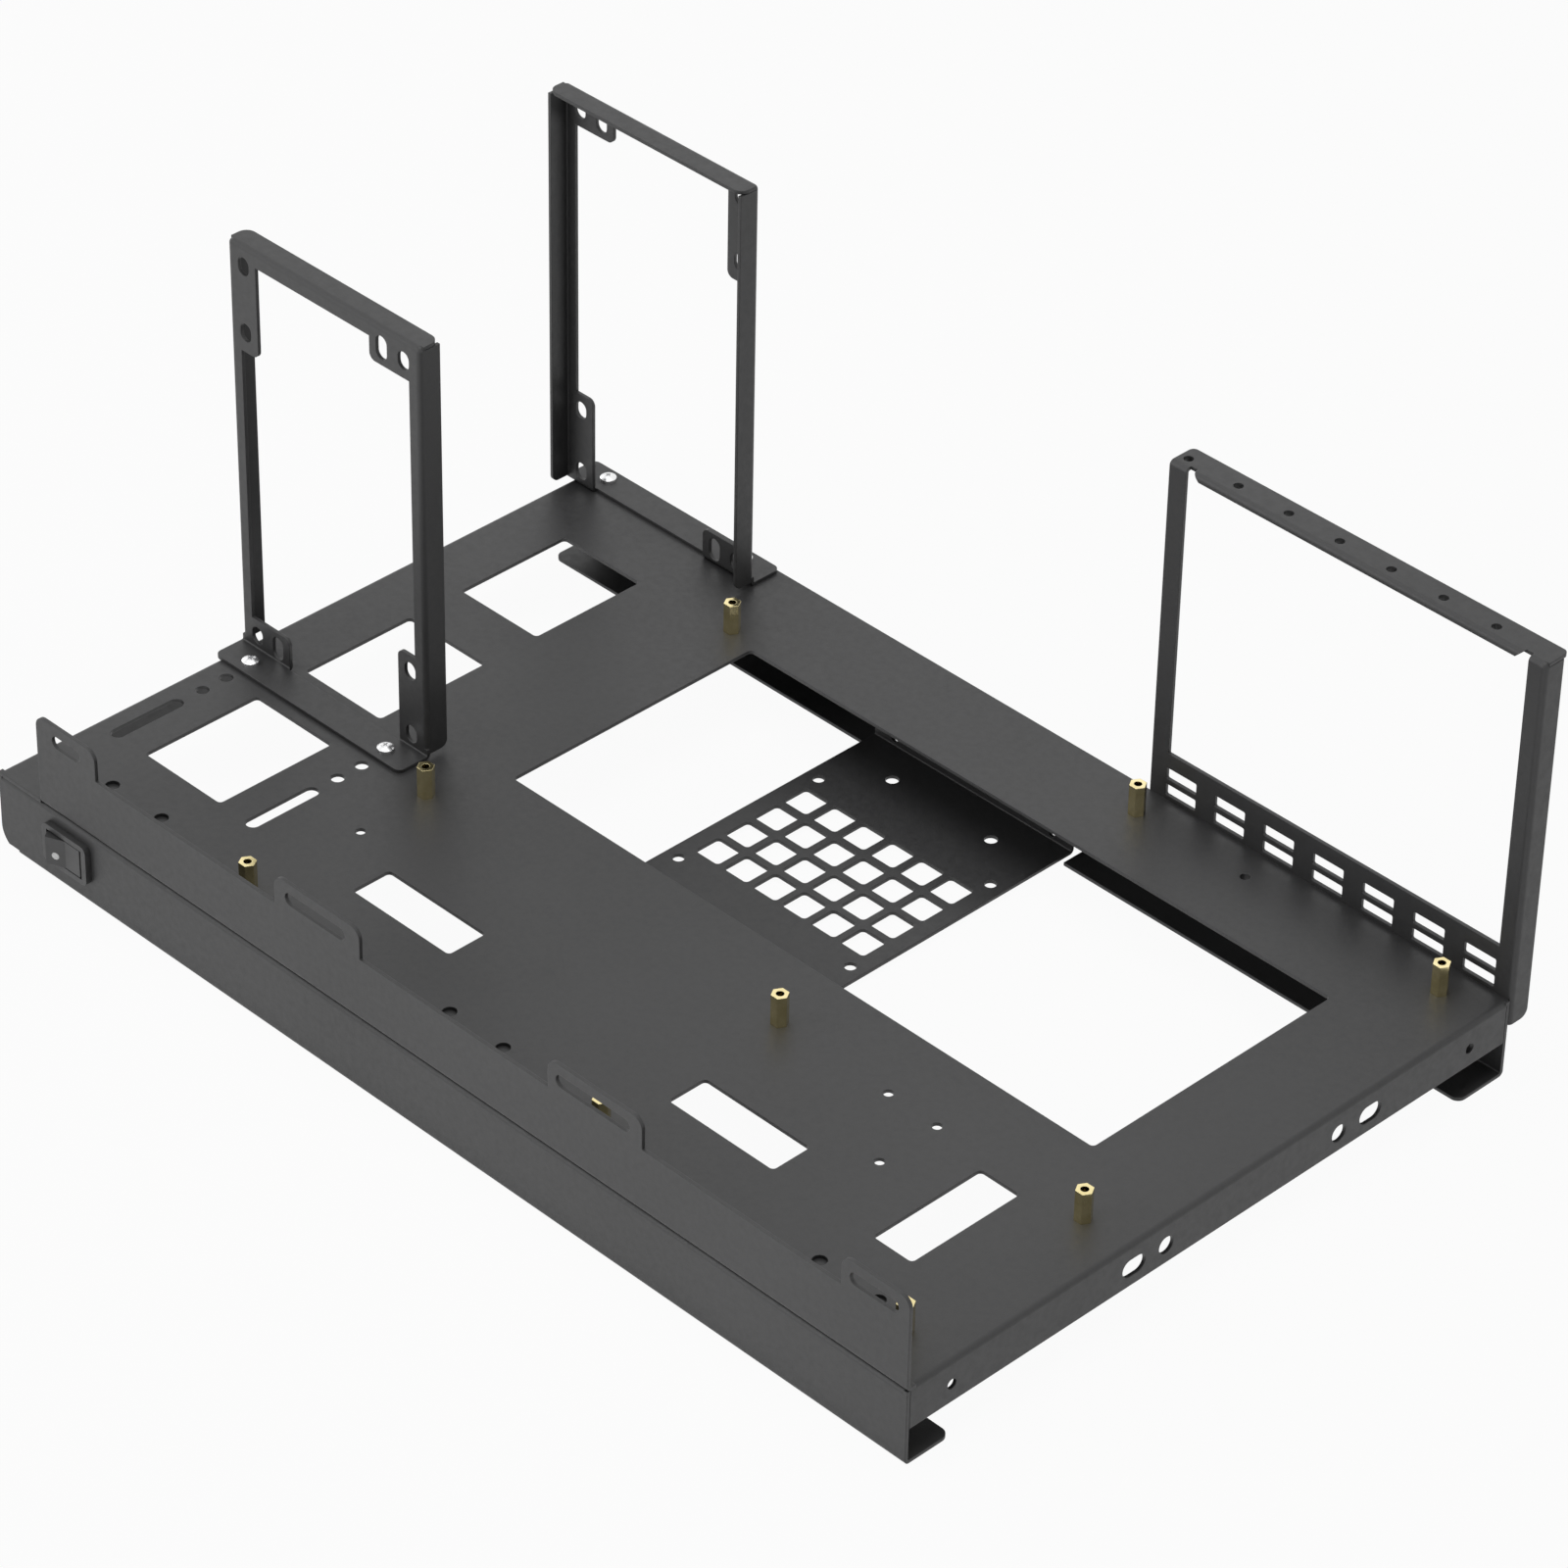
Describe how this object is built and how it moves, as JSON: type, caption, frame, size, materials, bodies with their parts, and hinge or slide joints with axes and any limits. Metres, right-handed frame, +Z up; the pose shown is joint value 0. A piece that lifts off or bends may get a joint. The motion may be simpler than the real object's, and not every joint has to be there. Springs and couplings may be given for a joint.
{
  "type": "computer test bench",
  "caption": "Open steel test bench: a raised tray with board standoffs, two upright power supply frames, a card slot frame, a drive plate and a rocker switch.",
  "frame": {"origin": "on the ground under the middle of the bench's bounding box", "axes": "+X to the right along the front, +Y from the front to the rear, +Z up"},
  "size_m": [0.4026, 0.2714, 0.1796],
  "materials": {
    "paint": "satin powder coat, dark grey",
    "brass": "turned",
    "zinc": "zinc plated",
    "switch_plastic": "fine texture",
    "rocker_plastic": "satin",
    "contact_metal": "plain"
  },
  "bodies": {
    "bench": {"tray": "paint", "front_channel": "paint", "rear_channel": "paint", "drive_bracket": "paint", "psu_frame_front": "paint", "psu_frame_rear": "paint", "slot_frame": "paint", "standoffs": "brass", "foot_screws": "zinc", "foot_nuts": "zinc", "slot_frame_screws": "zinc", "switch_case": "switch_plastic", "common_terminal": "contact_metal", "end_terminal": "contact_metal"},
    "rocker": {"rocker": "rocker_plastic", "plunger": "zinc"},
    "blade": {"contact_blade": "contact_metal"}
  },
  "joints": [
    {"name": "rocker_turn", "type": "hinge", "parent": "bench", "child": "rocker", "pos_m": [-0.16545, -0.13003, 0.0152], "axis": [0, 0, 1], "range_deg": [-24, 0]},
    {"name": "blade_turn", "type": "hinge", "parent": "bench", "child": "blade", "pos_m": [-0.16545, -0.12293, 0.0152], "axis": [0, 0, 1], "range_deg": [0, 12]}
  ],
  "couplings": [
    {"joint": "blade_turn", "follows": "rocker_turn", "ratio": -0.5}
  ]
}
